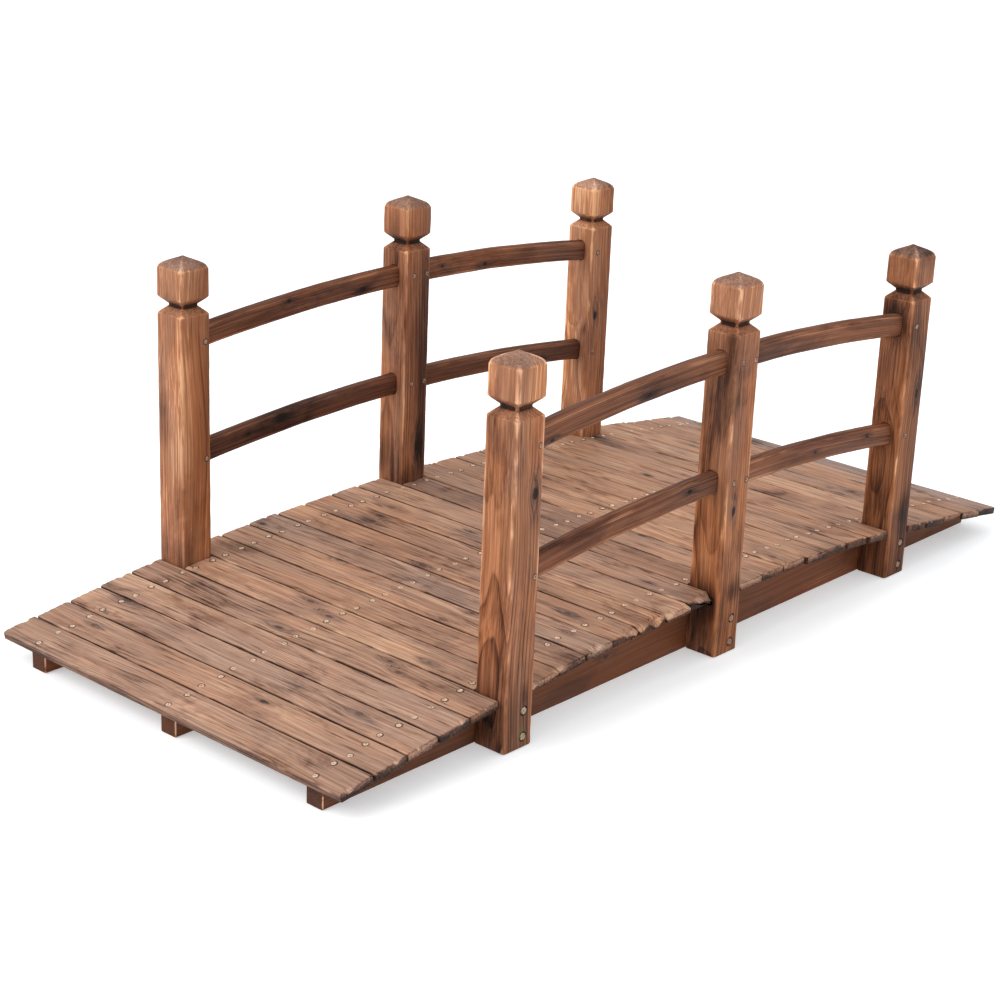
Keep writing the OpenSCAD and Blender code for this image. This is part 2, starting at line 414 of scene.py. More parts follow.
# the deck's arc, measured on the middle board and the last one
crownLow, crownHigh = span(boardNames[middle])
endLow, endHigh = span(boardNames[-1])
boardWidth = crownHigh[0] - crownLow[0]
boardThick = crownHigh[2] - crownLow[2]
crownTop = crownHigh[2]
endCentre = (endLow + endHigh) / 2
drop = (crownLow[2] + crownHigh[2]) / 2 - endCentre[2]
endAngle = 2 * math.atan2(drop, endCentre[0])
boardAngle = endAngle / middle
deckRadius = endCentre[0] / math.sin(endAngle) + boardThick / 2


def onDeck(k, x, y, z):
    # x across board k, y along it, z up from its top, into the frame
    turn = (k - middle) * boardAngle
    c, s = math.cos(turn), math.sin(turn)
    r = deckRadius + z
    return np.stack(np.broadcast_arrays(x * c + r * s, y, crownTop - deckRadius - x * s + r * c), -1)


def boardSection(width, thick):
    # soft arrises along the top, small ones below: its points, and how worn each is, with painted shade down
    # the sides and underneath
    r = boards["round"]
    half = width / 2
    flat = np.linspace(-1, 1, boards["profile"])
    turns = np.linspace(0, math.pi / 2, boards["cornerSteps"] + 2)[1:]
    side = [(half - r + r * math.sin(t), -r + r * math.cos(t)) for t in turns]
    side += [(half, -thick * 0.6), (half, -thick + 0.8 * mm), (half - 0.8 * mm, -thick)]
    # the sides darken down into the gaps and underneath: painted shade, with some burnt edge
    sideShadeAndBurn = [-0.1, -0.3, -0.6, -0.85, -1.0, -1.0, -1.0]
    pts = [(t * (half - r), 0.0) for t in flat] + side + [(half * 0.33, -thick), (-half * 0.33, -thick)]
    pts += [(-x, z) for x, z in side[::-1]]
    wornAndPaintedLight = [0.0 if abs(t) < 0.98 else -0.05 for t in flat] + sideShadeAndBurn + [-0.7, -0.7] + sideShadeAndBurn[::-1]
    return np.array(pts), np.array(wornAndPaintedLight)


def makeBoard(k):
    low, high = span(boardNames[k])
    draw = np.random.default_rng(100 + k)
    half = (high[1] - low[1]) / 2
    width = boardWidth + draw.uniform(-1, 1) * boards["widthSpread"]
    section, wornAndPaintedLight = boardSection(width, boardThick)
    count = len(section)
    isCut = k + 1 in boards["cut"]
    along = k / (boards["count"] - 1)
    nearEnd, farEnd = -half + 0.2 * mm, half - 0.2 * mm
    if not isCut:
        strayNear = np.interp(along, boards["stray"], boards["strayNear"])
        strayFar = np.interp(along, boards["stray"], boards["strayFar"])
        nearEnd += draw.uniform(0, 1) * boards["endSpread"] + strayNear
        farEnd += strayFar - draw.uniform(0, 1) * boards["endSpread"]
    ease = boards["ease"]
    fine = boards["fineEnd"]
    innerCount = int((farEnd - nearEnd - 2 * fine) / boards["ringEvery"])
    inner = np.linspace(nearEnd + fine, farEnd - fine, innerCount)
    steps = np.array([0, 0.35, 1.3, 3, 5, 7, 9, 11.5, 14, 17]) * mm
    ys = np.concatenate([[nearEnd], nearEnd + steps, inner, farEnd - steps[::-1], [farEnd]])
    fromEnd = np.minimum(ys - nearEnd, farEnd - ys)
    slant = draw.uniform(-0.03, 0.03, 2)
    lineX, lineZ, edge = waves(300 + k, 4, 0.8), waves(400 + k, 3, 0.9), waves(500 + k, 7, 0.07)
    rubAndHighlight = waves(800 + k, 6, 0.22)
    ragNear, ragFar = waves(600 + k, 6, 0.02), waves(700 + k, 6, 0.02)
    cup = draw.uniform(-0.4, 1.0) * boards["cup"]
    twist = draw.uniform(-1, 1) * boards["twist"]
    chips = []
    roughest = boards["roughEnds"][0] <= k < boards["roughEnds"][1]
    for c in range(int(draw.integers(2, boards["chips"] + 1)) if roughest else 2):
        size = draw.uniform(0.5, 1) if roughest and c > 0 else 0.35 * draw.uniform(0.15, 1) ** 2
        chipX = draw.uniform(-1, 1) * width / 2
        deep = draw.uniform(0.3, 1) * (0.35 + size) * boards["chipDepth"]
        long = (0.3 + 0.7 * size) * boards["chipReach"]
        chips.append((1 if c == 0 else -1, chipX, (2 + 14 * size) * mm, long, deep))
    shape = np.zeros((len(ys), count, 3))
    wearAndPaintedLight = np.zeros((len(ys), count))
    top = section[:, 1] > -boardThick * 0.5
    if k in (0, boards["count"] - 1):
        # the open side of an end board gets less painted shade than a side in a gap
        outside = section[:, 0] * (k - middle) > 0
        wornAndPaintedLight = np.where(outside, wornAndPaintedLight * 0.6, wornAndPaintedLight)
    side = np.sign(section[:, 0]) * (np.abs(section[:, 0]) > width / 2 - boards["round"] * 0.7)
    for r, y in enumerate(ys):
        x, z = section[:, 0].copy(), section[:, 1].copy()
        e = fromEnd[r]
        inset = ease - math.sqrt(ease ** 2 - (ease - min(e, ease)) ** 2)
        x = x * (1 - inset / (width / 2))
        z = -boardThick / 2 + (z + boardThick / 2) * (1 - inset / (boardThick / 2))
        which = -1 if y - nearEnd < farEnd - y else 1
        pull = max(0, 1 - e / 0.02)
        rag, sawn = (ragNear, slant[0]) if which < 0 else (ragFar, slant[1])
        ragged = which * -pull * (boards["endRagged"] * (rag(x) + 0.5) + abs(sawn * x))
        torn = np.zeros(count)
        for end, chipX, wide, long, deep in chips:
            if end != which or e > long * 1.3:
                continue
            profile = np.clip(1.25 - np.abs(x - chipX + 0.2 * e) / wide, 0, 1)
            bite = profile * np.clip(1 - e / long + 0.03 * np.sin(x / (1.7 * mm)), 0, 1) ** 0.7
            z = z - top * bite * deep
            torn = np.maximum(torn, bite * top)
        z = z + cup * ((2 * x / width) ** 2 - 0.4) + boards["bow"] * lineZ(y) + twist * x * (y / half) * 8
        x = x + 0.5 * mm * lineX(y) + side * 0.3 * mm * edge(y + side * 0.3)
        # rubbed patches along the top arrises, partly a painted highlight
        rubbedAndHighlit = np.clip(rubAndHighlight(y + side * 0.5) - 0.25, 0, 1) * 2.6 * (side != 0) * top
        z = z - (side != 0) * top * 0.25 * mm * (1 + edge(y * 1.3 + x * 3))
        shape[r] = onDeck(k, x, y + ragged, z)
        endDark = np.clip(1 - e / (3 * mm), 0, 1) * 0.5
        wearAndPaintedLight[r] = np.clip(wornAndPaintedLight + rubbedAndHighlit - endDark + torn * 1.4, -1, 1)
    # the end faces: a random darkness, with painted shade on their lower part
    endTone = np.random.default_rng(2000 + k).uniform(-0.85, -0.1, 2)
    wearAndPaintedLight[0], wearAndPaintedLight[-1] = np.maximum(endTone[:, None] - 0.55 * ~top, -1)
    mesh = skin(boardNames[k], shape)
    note(mesh, "wearAndPaintedLight", "FLOAT", wearAndPaintedLight.ravel())

    co = points(mesh)
    turn = (k - middle) * boardAngle
    dx, dz = co[:, 0], co[:, 2] - (crownTop - deckRadius)
    across = dx * math.cos(turn) - dz * math.sin(turn)
    depth = dx * math.sin(turn) + dz * math.cos(turn) - deckRadius
    knots = scatterKnots(draw, draw.integers(0, 4), (-0.32, 0.32), (-0.025, 0.025), (2, 5.5))
    tone = np.array([draw.normal(0.0, 0.035), max(0, draw.normal(0.0, 0.05)), draw.uniform(0.4, 1.3)])
    tone[:2] += boards["burnt"].get(k + 1, (0, 0))
    pith = (draw.uniform(-0.03, 0.03), draw.uniform(-0.09, -0.025))
    growWood(mesh, co[:, 1], across, depth, {
        "seed": k + 1, "pith": pith, "drift": draw.uniform(2, 9) * mm,
        "knots": knots, "lift": 0.7, "tone": tone,
    })
    piece = place(boardNames[k] + "_plank", mesh)
    mesh.materials.append(deckFir)
    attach(piece, "root")
    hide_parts(boardNames[k])


print("deck boards")
for k in range(boards["count"]):
    makeBoard(k)


stringers = {
    "names": ("stringer_near", "stringer_middle", "stringer_far"),
    "every": 8 * mm, "arris": 0.9 * mm, "seat": 0.1 * mm, "sawMarks": 0.15 * mm, "knots": 5,
}


def makeStringer(name, seed):
    low, high = span(name)
    radius = deckRadius - boardThick - stringers["seat"]
    centreZ = crownTop - deckRadius
    count = int((high[0] - low[0]) / stringers["every"])
    a = stringers["arris"]
    ends = np.array([0, 0.4 * a, a, 2.4 * a, 3 * a])
    xs = np.concatenate([low[0] + ends, np.linspace(low[0], high[0], count)[1:-1], high[0] - ends[::-1]])
    insets = np.zeros(len(xs))
    insets[0] = insets[-1] = a
    insets[1] = insets[-2] = a * 0.4
    y0, y1 = low[1], high[1]
    sawn = waves(seed, 5, 0.4)
    rings, wearAndPaintedLight = [], []
    for x, inset in zip(xs, insets):
        top = centreZ + math.sqrt(radius ** 2 - x ** 2) - inset
        bottom = low[2] + inset
        near, far = y0 + inset, y1 - inset
        heights = np.linspace(bottom + a, top - a, 7)
        loop = [(near + a, bottom), (far - a, bottom)]
        loop += [(far, h) for h in heights]
        loop += [(far - a, top), (near + a, top)]
        loop += [(near, h) for h in heights[::-1]]
        loop = np.array(loop)
        loop[:, 0] += stringers["sawMarks"] * sawn(x + loop[:, 1])
        rings.append(np.column_stack([np.full(len(loop), x), loop]))
        wornAndPaintedLight = np.zeros(len(loop))
        # the bottom arrises a little paler: rubbed, partly a painted highlight
        wornAndPaintedLight[[0, 1, 2, -1]] = 0.3
        wearAndPaintedLight.append(wornAndPaintedLight)
    wearAndPaintedLight[0][:] = wearAndPaintedLight[-1][:] = -0.45
    # a pale line down each end arris: rubbed, partly a painted highlight
    for r in (1, 2, 3):
        wearAndPaintedLight[r][:] = wearAndPaintedLight[-1 - r][:] = 1.0
    mesh = skin(name, np.array(rings))
    note(mesh, "wearAndPaintedLight", "FLOAT", np.array(wearAndPaintedLight).ravel())
    co = points(mesh)
    middleY = (low[1] + high[1]) / 2
    draw = np.random.default_rng(seed)
    knots = scatterKnots(draw, stringers["knots"], (-0.6, 0.6), (0.0, 0.05), (3, 8))
    growWood(mesh, co[:, 0], co[:, 2] - 0.04, co[:, 1] - middleY, {
        "seed": seed, "pith": (0.02, -0.07), "drift": 6 * mm, "knots": knots, "lift": 1.5,
        "tone": (0.0, 0.0, 1.0),
    })
    piece = place(name + "_beam", mesh)
    mesh.materials.append(stringerFir)
    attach(piece, "root")
    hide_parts(name)


print("stringers")
for k, name in enumerate(stringers["names"]):
    makeStringer(name, 60 + k)


posts = {
    "every": 9 * mm, "sideSteps": 9, "cornerSteps": 3, "round": 3 * mm, "fuller": 0.7 * mm,
    "neck": 30 * mm, "neckRound": 1.4 * mm, "neckHeight": 24 * mm,
    "headHeight": 58.5 * mm, "headSteps": 6, "topHeight": 16.5 * mm,
    # the low pyramid: share of the slope, share of the height, share of the half width taken off
    "pyramid": (
        (0.2, 0.24, 0.085), (0.4, 0.42, 0.2), (0.55, 0.6, 0.4),
        (0.7, 0.76, 0.62), (0.85, 0.9, 0.82), (0.94, 1.0, 0.93),
    ),
    "mortiseGap": 0.9 * mm, "mortiseIn": 18 * mm, "mortiseOut": 12 * mm,
    "recess": 7.2 * mm, "recessDepth": 3.2 * mm, "recessOut": 6 * mm,
}
postNames = ["post_%s_%s" % (row, where) for row in ("near", "far") for where in ("left", "middle", "right")]
railNames = [
    "%s_rail_%s_%s" % (level, row, bay)
    for level in ("upper", "lower") for row in ("near", "far") for bay in ("left", "right")
]
bolts = {
    "offset": 9 * mm, "heights": (53 * mm, 16 * mm), "flat": 5 * mm, "head": 3.6 * mm, "nutTaller": 1.3,
    "headRound": 36, "round": 32,
    "washer": 6.6 * mm, "washerHole": 3.1 * mm, "washerThick": 0.9 * mm, "seat": 0.85 * mm,
    "shank": 3 * mm, "shankHole": 0.2 * mm, "shankEnd": 9 * mm,
}

# for each post: the heart of the trunk off the middle, how much darker, greyer and more strongly
# ringed it is (tone), how darker its head is, how rubbed its arrises are (partly a painted highlight),
# its knots (height, across, size) and its burnt marks (x, y, z in mm, size in mm, stretch, depth)
postWood = {
    "post_near_left": {
        "pith": (0.05, 0.004), "tone": (0.0, 0.0, 1.3), "drift": 9 * mm, "headTone": -0.16, "arris": 1.0,
        "knots": [(0.352, 0.0125, 5 * mm)],
        "marks": [
            (-26, -14, 140, 8, 8, 0.35), (-26, -21, 105, 8, 3, 0.3), (9, -26, 75, 10, 2.2, 0.35),
            (-26, 8, 30, 26, 1.5, 0.5), (0, -26, 10, 24, 1.5, 0.22), (-26, 10, 420, 20, 2, 0.1),
        ],
        "green": (10, 20, 9, 1.6),
    },
    "post_near_middle": {
        "pith": (0.045, -0.01), "tone": (0.03, 0.0, 0.85), "drift": 8 * mm, "headTone": -0.15, "arris": 1.0,
        "knots": [(0.22, -0.006, 4 * mm)],
        "marks": [
            (-26, 12, 330, 16, 3, 0.2), (-26, 20, 190, 10, 4, 0.2), (-26, -4, 78, 34, 1.1, 0.55),
            (5, -26, 95, 24, 0.8, 0.5), (-20, -20, 40, 30, 1.5, 0.3), (-26, 12, 350, 10, 5, 0.25),
            (-26, -15, 470, 12, 2, 0.3), (15, -26, 170, 8, 4, 0.25),
        ],
    },
    "post_near_right": {
        "pith": (0.05, 0.01), "tone": (0.17, 0.0, 0.9), "drift": 7 * mm, "headTone": -0.13, "arris": 0.9,
        "knots": [(0.3, 0.01, 5 * mm)],
        "marks": [
            (-26, 0, 130, 24, 2, 0.3), (10, -26, 110, 20, 1.3, 0.35), (26, -26, 330, 8, 5, 0.3),
            (-26, 12, 425, 20, 1.6, 0.38), (-26, 6, 230, 22, 2.5, 0.14),
        ],
    },
    "post_far_left": {
        "pith": (-0.004, 0.055), "tone": (-0.17, 0.0, 1.0), "drift": 6 * mm, "headTone": 0.02, "arris": 0.6,
        "knots": [],
        "marks": [
            (-26, 14, 300, 7, 9, 0.3), (26, -26, 300, 26, 8, 0.4), (-26, -16, 180, 7, 5, 0.3),
            (0, -26, 200, 10, 12, 0.2), (-26, 0, 440, 24, 2.5, 0.13), (5, -26, 440, 26, 2, 0.16),
            (-26, 0, 40, 40, 2, 0.14), (5, -26, 60, 30, 2, 0.1),
        ],
    },
    "post_far_middle": {
        "pith": (0.05, 0.012), "tone": (-0.06, 0.0, 1.1), "drift": 7 * mm, "headTone": -0.03, "arris": 0.7,
        "knots": [(0.16, 0.01, 6 * mm)],
        "marks": [
            (20, -26, 300, 28, 8, 0.42), (-26, 20, 140, 12, 3, 0.5), (-10, -26, 100, 24, 1.5, 0.3),
            (-26, 0, 490, 24, 2, 0.2),
        ],
    },
    "post_far_right": {
        "pith": (0.045, 0.008), "tone": (-0.16, 0.0, 0.9), "drift": 7 * mm, "headTone": -0.04, "arris": 0.7,
        "knots": [(0.3, -0.01, 5 * mm)],
        "marks": [(20, -26, 300, 34, 9, 0.3), (-26, 10, 120, 14, 2, 0.3)],
    },
}


def postLoop(half, radius):
    # a square with rounded corners about the origin, anticlockwise, and how worn each point is, the corners
    # partly a painted highlight
    pts, wornAndPaintedLight = [], []
    inner = half - radius
    for side in range(4):
        turn = side * math.pi / 2
        c, s = math.cos(turn), math.sin(turn)
        for t in np.linspace(-1, 1, posts["sideSteps"]):
            x, y = half, t * inner
            pts.append((x * c - y * s, x * s + y * c))
            wornAndPaintedLight.append(0.5 * abs(t) ** 8)
        for t in np.linspace(0, 1, posts["cornerSteps"] + 2)[1:-1]:
            a = t * math.pi / 2
            x, y = inner + radius * math.cos(a), inner + radius * math.sin(a)
            pts.append((x * c - y * s, x * s + y * c))
            wornAndPaintedLight.append(1.0)
    return np.array(pts), np.array(wornAndPaintedLight)


def postLevels(height, half):
    # (height, half width, corner radius, extra wear with painted shade and highlight) from the foot up
    neckTop = height - posts["headHeight"]
    shoulder = neckTop - posts["neckHeight"]
    neck = posts["neck"] / 2
    flat = posts["neckHeight"] / 8
    slope = (posts["neckHeight"] - flat) / 2
    headTop = height - posts["topHeight"]
    r = posts["round"]
    levels = [(0, half - 1.2 * mm, r, -0.3), (0.5 * mm, half - 0.5 * mm, r, -0.2), (1.5 * mm, half, r, 0)]
    for z in np.linspace(6 * mm, shoulder - 4 * mm, int(shoulder / posts["every"])):
        levels.append((z, half, r, 0))
    levels += [
        (shoulder - 1.2 * mm, half, r, 0.2), (shoulder, half - 0.35 * mm, r, 0.5),
        (shoulder + 0.9 * mm, half - 1.4 * mm, r * 0.9, 0.2),
    ]
    # the slopes darken down into the neck groove: painted shade, deepest in the groove
    for t in (0.3, 0.55, 0.8):
        levels.append((shoulder + slope * t, half + (neck - half) * t, r * (1 - 0.5 * t), 0.1 - 0.6 * t ** 2))
    grooveFoot, grooveTop = shoulder + slope, shoulder + slope + flat
    levels += [(grooveFoot, neck, posts["neckRound"], -0.9), (grooveTop, neck, posts["neckRound"], -0.9)]
    for t in (0.25, 0.5, 0.75):
        levels.append((grooveTop + slope * t, neck + (half - neck) * t, r * (0.5 + 0.5 * t), -0.6 + 0.5 * t))
    levels += [
        (neckTop - 0.9 * mm, half - 1.4 * mm, r * 0.9, 0.15), (neckTop, half - 0.35 * mm, r, 0.4),
        (neckTop + 1.2 * mm, half, r, 0.15),
    ]
    for z in np.linspace(neckTop + 4 * mm, headTop - 4 * mm, posts["headSteps"]):
        levels.append((z, half, r, 0))
    levels += [(headTop - 1.0 * mm, half, r, 0.15), (headTop, half - 0.4 * mm, r, 0.4)]
    for t, rise, inset in posts["pyramid"]:
        levels.append((headTop + posts["topHeight"] * rise, half * (1 - inset), r * (1 - 0.6 * t), 0.1))
    return np.array(levels)


rails = {
    "every": 6 * mm, "inset": 1.5 * mm, "roundness": 0.38, "clearEnd": 50 * mm,
    "sideways": 0.35 * mm, "upDown": 0.4 * mm, "bumps": 0.15 * mm,
    # how much darker each is than the lightest
    "tones": {
        "upper_rail_near_left": 0.0, "upper_rail_near_right": 0.0,
        "upper_rail_far_left": 0.05, "upper_rail_far_right": 0.05,
        "lower_rail_near_left": 0.0, "lower_rail_near_right": 0.02,
        "lower_rail_far_left": 0.16, "lower_rail_far_right": 0.12,
    },
}
railLow, railHigh = span("upper_rail_near_right")
railThick = railHigh[1] - railLow[1]


def barPoints(height, fromX, toX, grow, depth, thick, y, railRadius, steps):
    # a curved bar on the rail's arc, with a rounded section, grown by grow all round
    radius = thick * rails["roundness"] + grow
    h, t = depth / 2 + grow, thick / 2 + grow
    loop = []
    for corner, (sideways, upward) in enumerate(((1, 1), (-1, 1), (-1, -1), (1, -1))):
        for k in range(6):
            a = math.radians(corner * 90 + k * 18)
            across = sideways * (t - radius) + radius * math.cos(a)
            loop.append((across, upward * (h - radius) + radius * math.sin(a)))
    loop = np.array(loop)
    r = railRadius + loop[:, 1]
    rings = []
    for x in np.linspace(fromX, toX, steps):
        a = math.asin(x / railRadius)
        z = height - railRadius + r * math.cos(a)
        rings.append(np.column_stack([r * math.sin(a), y + loop[:, 0], z]))
    return np.array(rings)


def railArc(name):
    # measured on the CAD rail: the arc's radius, the height of its middle line over the middle
    # of the bridge, and the rail's depth
    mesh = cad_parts[name].data
    co = points(mesh)
    inner = np.abs(co[:, 0]) < np.abs(co[:, 0]).min() + 4 * mm
    outer = np.abs(co[:, 0]) > np.abs(co[:, 0]).max() - 5 * mm
    depth = co[inner, 2].max() - co[inner, 2].min()
    topIn, topOut = co[inner][co[inner, 2].argmax()], co[outer][co[outer, 2].argmax()]
    fall = topIn[2] - topOut[2]
    radius = ((topOut[0] ** 2 - topIn[0] ** 2) + fall ** 2) / (2 * fall)
    middleLine = topIn[2] + radius - math.sqrt(radius ** 2 - topIn[0] ** 2) - depth / 2
    return radius - depth / 2, middleLine, depth


def postCutters(centre, half):
    # the mortises for the rails, and the round sinkings for the bolts. Both bays' rails share an arc.
    cutters = []
    row, outward = ("near", -1) if centre[1] < 0 else ("far", 1)
    for level in ("upper", "lower"):
        for bay, side in (("left", -1), ("right", 1)):
            if side * centre[0] > 0.1:
                continue
            radius, middleLine, depth = railArc("%s_rail_%s_%s" % (level, row, bay))
            ends = [centre[0] + side * (half + reach) for reach in (-posts["mortiseIn"], posts["mortiseOut"])]
            shape = barPoints(middleLine, min(ends), max(ends), posts["mortiseGap"],
                depth, railThick, centre[1], radius, 4)
            cutters.append(skin("mortise", shape))
    angles = np.linspace(0, 2 * math.pi, 33)[:-1]
    x = centre[0] + bolts["offset"] + posts["recess"] * np.cos(angles)
    for height in bolts["heights"]:
        z = height + posts["recess"] * np.sin(angles)
        shape = []
        for depthAt in (posts["recessDepth"], -posts["recessOut"]):
            y = centre[1] + outward * (half - depthAt)
            shape.append(np.column_stack([x, np.full(len(x), y), z]))
        shape = np.array(shape)
        if outward > 0:
            shape = shape[:, ::-1]
        cutters.append(skin("recess", shape))
    return cutters


def cutAway(piece, cutters):
    for cutMesh in cutters:
        cutter = bpy.data.objects.new("cutter", cutMesh)
        scene.collection.objects.link(cutter)
        cut = piece.modifiers.new("cut", "BOOLEAN")
        cut.operation = "DIFFERENCE"
        cut.object = cutter
        cut.solver = "EXACT"
        bpy.context.view_layer.update()
        done = bpy.data.meshes.new_from_object(piece.evaluated_get(bpy.context.evaluated_depsgraph_get()))
        piece.modifiers.clear()
        piece.data = done
        bpy.data.objects.remove(cutter)


def makePost(name, seed):
    low, high = span(name)
    centre = (low + high) / 2
    height = high[2] - low[2]
    half = (high[0] - low[0]) / 2
    outward = -1 if centre[1] < 0 else 1
    levels = postLevels(height, half + posts["fuller"])
    lean, shrink = waves(seed, 4, 0.5), waves(seed + 40, 5, 0.25)
    dents = waves(seed + 80, 7, 0.07)
    rings = []
    for z, h, r, _ in levels:
        loop, wornAndPaintedLight = postLoop(h, r)
        corner = wornAndPaintedLight > 0.9
        loop = loop * (1 + 0.0035 * shrink(z))
        loop = loop - corner[:, None] * np.sign(loop) * 0.3 * mm * (1 + dents(z + loop[:, :1] * 4))
        loop = loop + 0.25 * mm * lean(z)
        ring = [centre[0] + loop[:, 0], centre[1] + loop[:, 1], np.full(len(loop), low[2] + z)]
        rings.append(np.column_stack(ring))
    piece = place(name + "_turned", skin(name, np.array(rings)))
    cutAway(piece, postCutters(centre, half))
    mesh = piece.data
    mesh.name = name

    # wear with painted shade and highlight, and growth, are written once the holes are cut
    wood = dict(postWood[name], seed=seed, lift=1.4)
    co = points(mesh)
    x, y, z = (co - [centre[0], centre[1], low[2]]).T
    widths = np.interp(z, levels[:, 0], levels[:, 1])
    extra = np.interp(z, levels[:, 0], levels[:, 3])
    edge = np.minimum(np.abs(x), np.abs(y)) / widths
    depthIn = widths - np.maximum(np.abs(x), np.abs(y))
    # arrises rubbed pale, partly a painted highlight
    wornAndPaintedLight = np.clip(wood["arris"] * np.clip((edge - 0.79) * 6.5, 0, 0.85) + extra, -1, 1)
    # painted shade inside the mortises and the bolt sinkings
    wornAndPaintedLight = np.where((depthIn > 0.8 * mm) & (edge < 0.85), -1.0, wornAndPaintedLight)
    note(mesh, "wearAndPaintedLight", "FLOAT", wornAndPaintedLight)
    burn = 0.2 * np.clip(1 - (z - 0.06) / 0.08, 0, 1)
    for mx, my, mz, size, stretch, amount in wood["marks"]:
        gap2 = (x - mx * mm) ** 2 + (y - my * mm) ** 2 + ((z - mz * mm) / stretch) ** 2
        burn = np.maximum(burn, amount * np.exp(-gap2 / (size * mm) ** 2))
    headFoot = height - posts["headHeight"] - 4 * mm
    shoulder = headFoot - posts["neckHeight"]
    onHead = 0.65 * np.clip((z - headFoot) / (6 * mm), 0, 1)
    onHead = onHead + 0.35 * np.clip((z - shoulder + 60 * mm) / (60 * mm), 0, 1)
    burn = burn + wood["headTone"] * onHead
    if "green" in wood:
        gx, gz, size, stretch = wood["green"]
        gap2 = (x - gx * mm) ** 2 + ((z - gz * mm) / stretch) ** 2
        outside = y * outward > half - 5 * mm
        note(mesh, "verdigris", "FLOAT", 0.7 * np.exp(-gap2 / (size * mm) ** 2) * outside)
    onTop = np.clip((z - height + posts["topHeight"]) / (3 * mm), 0, 1)
    calm = np.where(z > shoulder, 0.3, np.interp(z, [0.2, 0.34], [1.0, 0.65]))
    calm = np.where(z > headFoot, 0.4, calm) - 0.25 * onTop
    growWood(mesh, z, x, y, wood, burn + 0.14 * onTop, calm, 0.2 * onTop)
    mesh.materials.clear()
    mesh.materials.append(postFir)
    mesh.shade_smooth()
    mesh.set_sharp_from_angle(angle=math.radians(38))
    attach(piece, "root")
    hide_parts(name)


print("posts")
for k, name in enumerate(postNames):
    makePost(name, 30 + k)


def makeRail(name, seed):
    low, high = span(name)
    radius, middleLine, depth = railArc(name)
    y = (low[1] + high[1]) / 2
    thick = high[1] - low[1]
    steps = int((high[0] - low[0]) / rails["every"])
    fromX, toX = low[0] + rails["inset"], high[0] - rails["inset"]
    shape = barPoints(middleLine, fromX, toX, 0, depth, thick, y, radius, steps)
    line, bumps = waves(seed, 4, 0.3), waves(seed + 9, 6, 0.08)
    xs = shape[:, :1, 0]
    shape[:, :, 1] += rails["sideways"] * line(xs)
    shape[:, :, 2] += rails["upDown"] * line(xs + 2) + rails["bumps"] * bumps(xs + shape[:, :, 1] * 5)
    mesh = skin(name, shape)
    co = points(mesh)
    arc = np.sqrt(co[:, 0] ** 2 + (co[:, 2] - middleLine + radius) ** 2) - radius
    corner = np.minimum(np.abs(arc) / (depth / 2), 1)
    corner = corner * np.minimum(np.abs(co[:, 1] - y) / (thick / 2), 1)
    note(mesh, "wearAndPaintedLight", "FLOAT", np.clip((corner - 0.45) * 2.2, 0, 1))
    draw = np.random.default_rng(seed)
    reach = (low[0] + rails["clearEnd"], high[0] - rails["clearEnd"])
    knots = scatterKnots(draw, draw.integers(0, 3), reach, (-0.01, 0.01), (2, 3.5))
    pith = (draw.choice([-1, 1]) * draw.uniform(0.06, 0.09), draw.uniform(-0.02, 0.02))
    growWood(mesh, co[:, 0], arc, co[:, 1] - y, {
        "seed": seed, "pith": pith, "drift": draw.uniform(1, 2.5) * mm,
        "knots": knots, "lift": 1.2, "tone": (rails["tones"][name], 0.0, draw.uniform(0.9, 1.4)),
    })
    piece = place(name + "_bar", mesh)
    mesh.materials.append(railFir)
    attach(piece, "root")
    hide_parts(name)


print("rails")
for k, name in enumerate(railNames):
    makeRail(name, 80 + k)


screws = {
    "radius": 4 * mm, "dome": 0.7 * mm, "round": 24,
    "rings": (0.35, 0.8, 1.3, 1.8, 2.3, 2.9, 3.5, 3.85, 4.0, 4.0),
    "slotHalf": 0.55 * mm, "slotReach": 2.3 * mm, "slotDepth": 0.9 * mm, "crushedAndShadeRing": 0.12 * mm,
    "sideways": 16 * mm, "rightOfPost": 19 * mm, "leftOfPost": 11 * mm, "railScrew": 0.9,
}


def screwHead(seed):
    # a low domed head with a cross recess, centred at the origin, axis up
    draw = np.random.default_rng(seed)
    radii = np.array(screws["rings"]) * mm
    rise = screws["dome"] * (1 - (radii / screws["radius"]) ** 2.5)
    rise[-2] = 0.0
    rise[-1] = -0.8 * mm
    turn = draw.uniform(0, math.pi / 2)
    verts = [(0, 0, rise[0] - 1.0 * mm)]
    count = screws["round"]
    for r, z in zip(radii, rise):
        for k in range(count):
            a = 2 * math.pi * k / count
            x, y = r * math.cos(a), r * math.sin(a)
            inCross = min(abs(x), abs(y)) < screws["slotHalf"] * 1.3 and r < screws["slotReach"]
            deep = screws["slotDepth"] if inCross else 0
            turnedX = x * math.cos(turn) - y * math.sin(turn)
            turnedY = x * math.sin(turn) + y * math.cos(turn)
            verts.append((turnedX, turnedY, z - deep))
    faces = [(0, 1 + k, 1 + (k + 1) % count) for k in range(count)]
    return np.array(verts), faces + bands(len(radii), count, 1, flip=True)


def collar(inner, outer, height):
    # the dark ring round a head: crushed wood, with painted shade round the head's rim
    sizes = ((inner, height), ((inner + outer) / 2, height * 0.7), (outer, -0.1 * mm))
    return turned(sizes, screws["round"]), bands(3, screws["round"], flip=True)


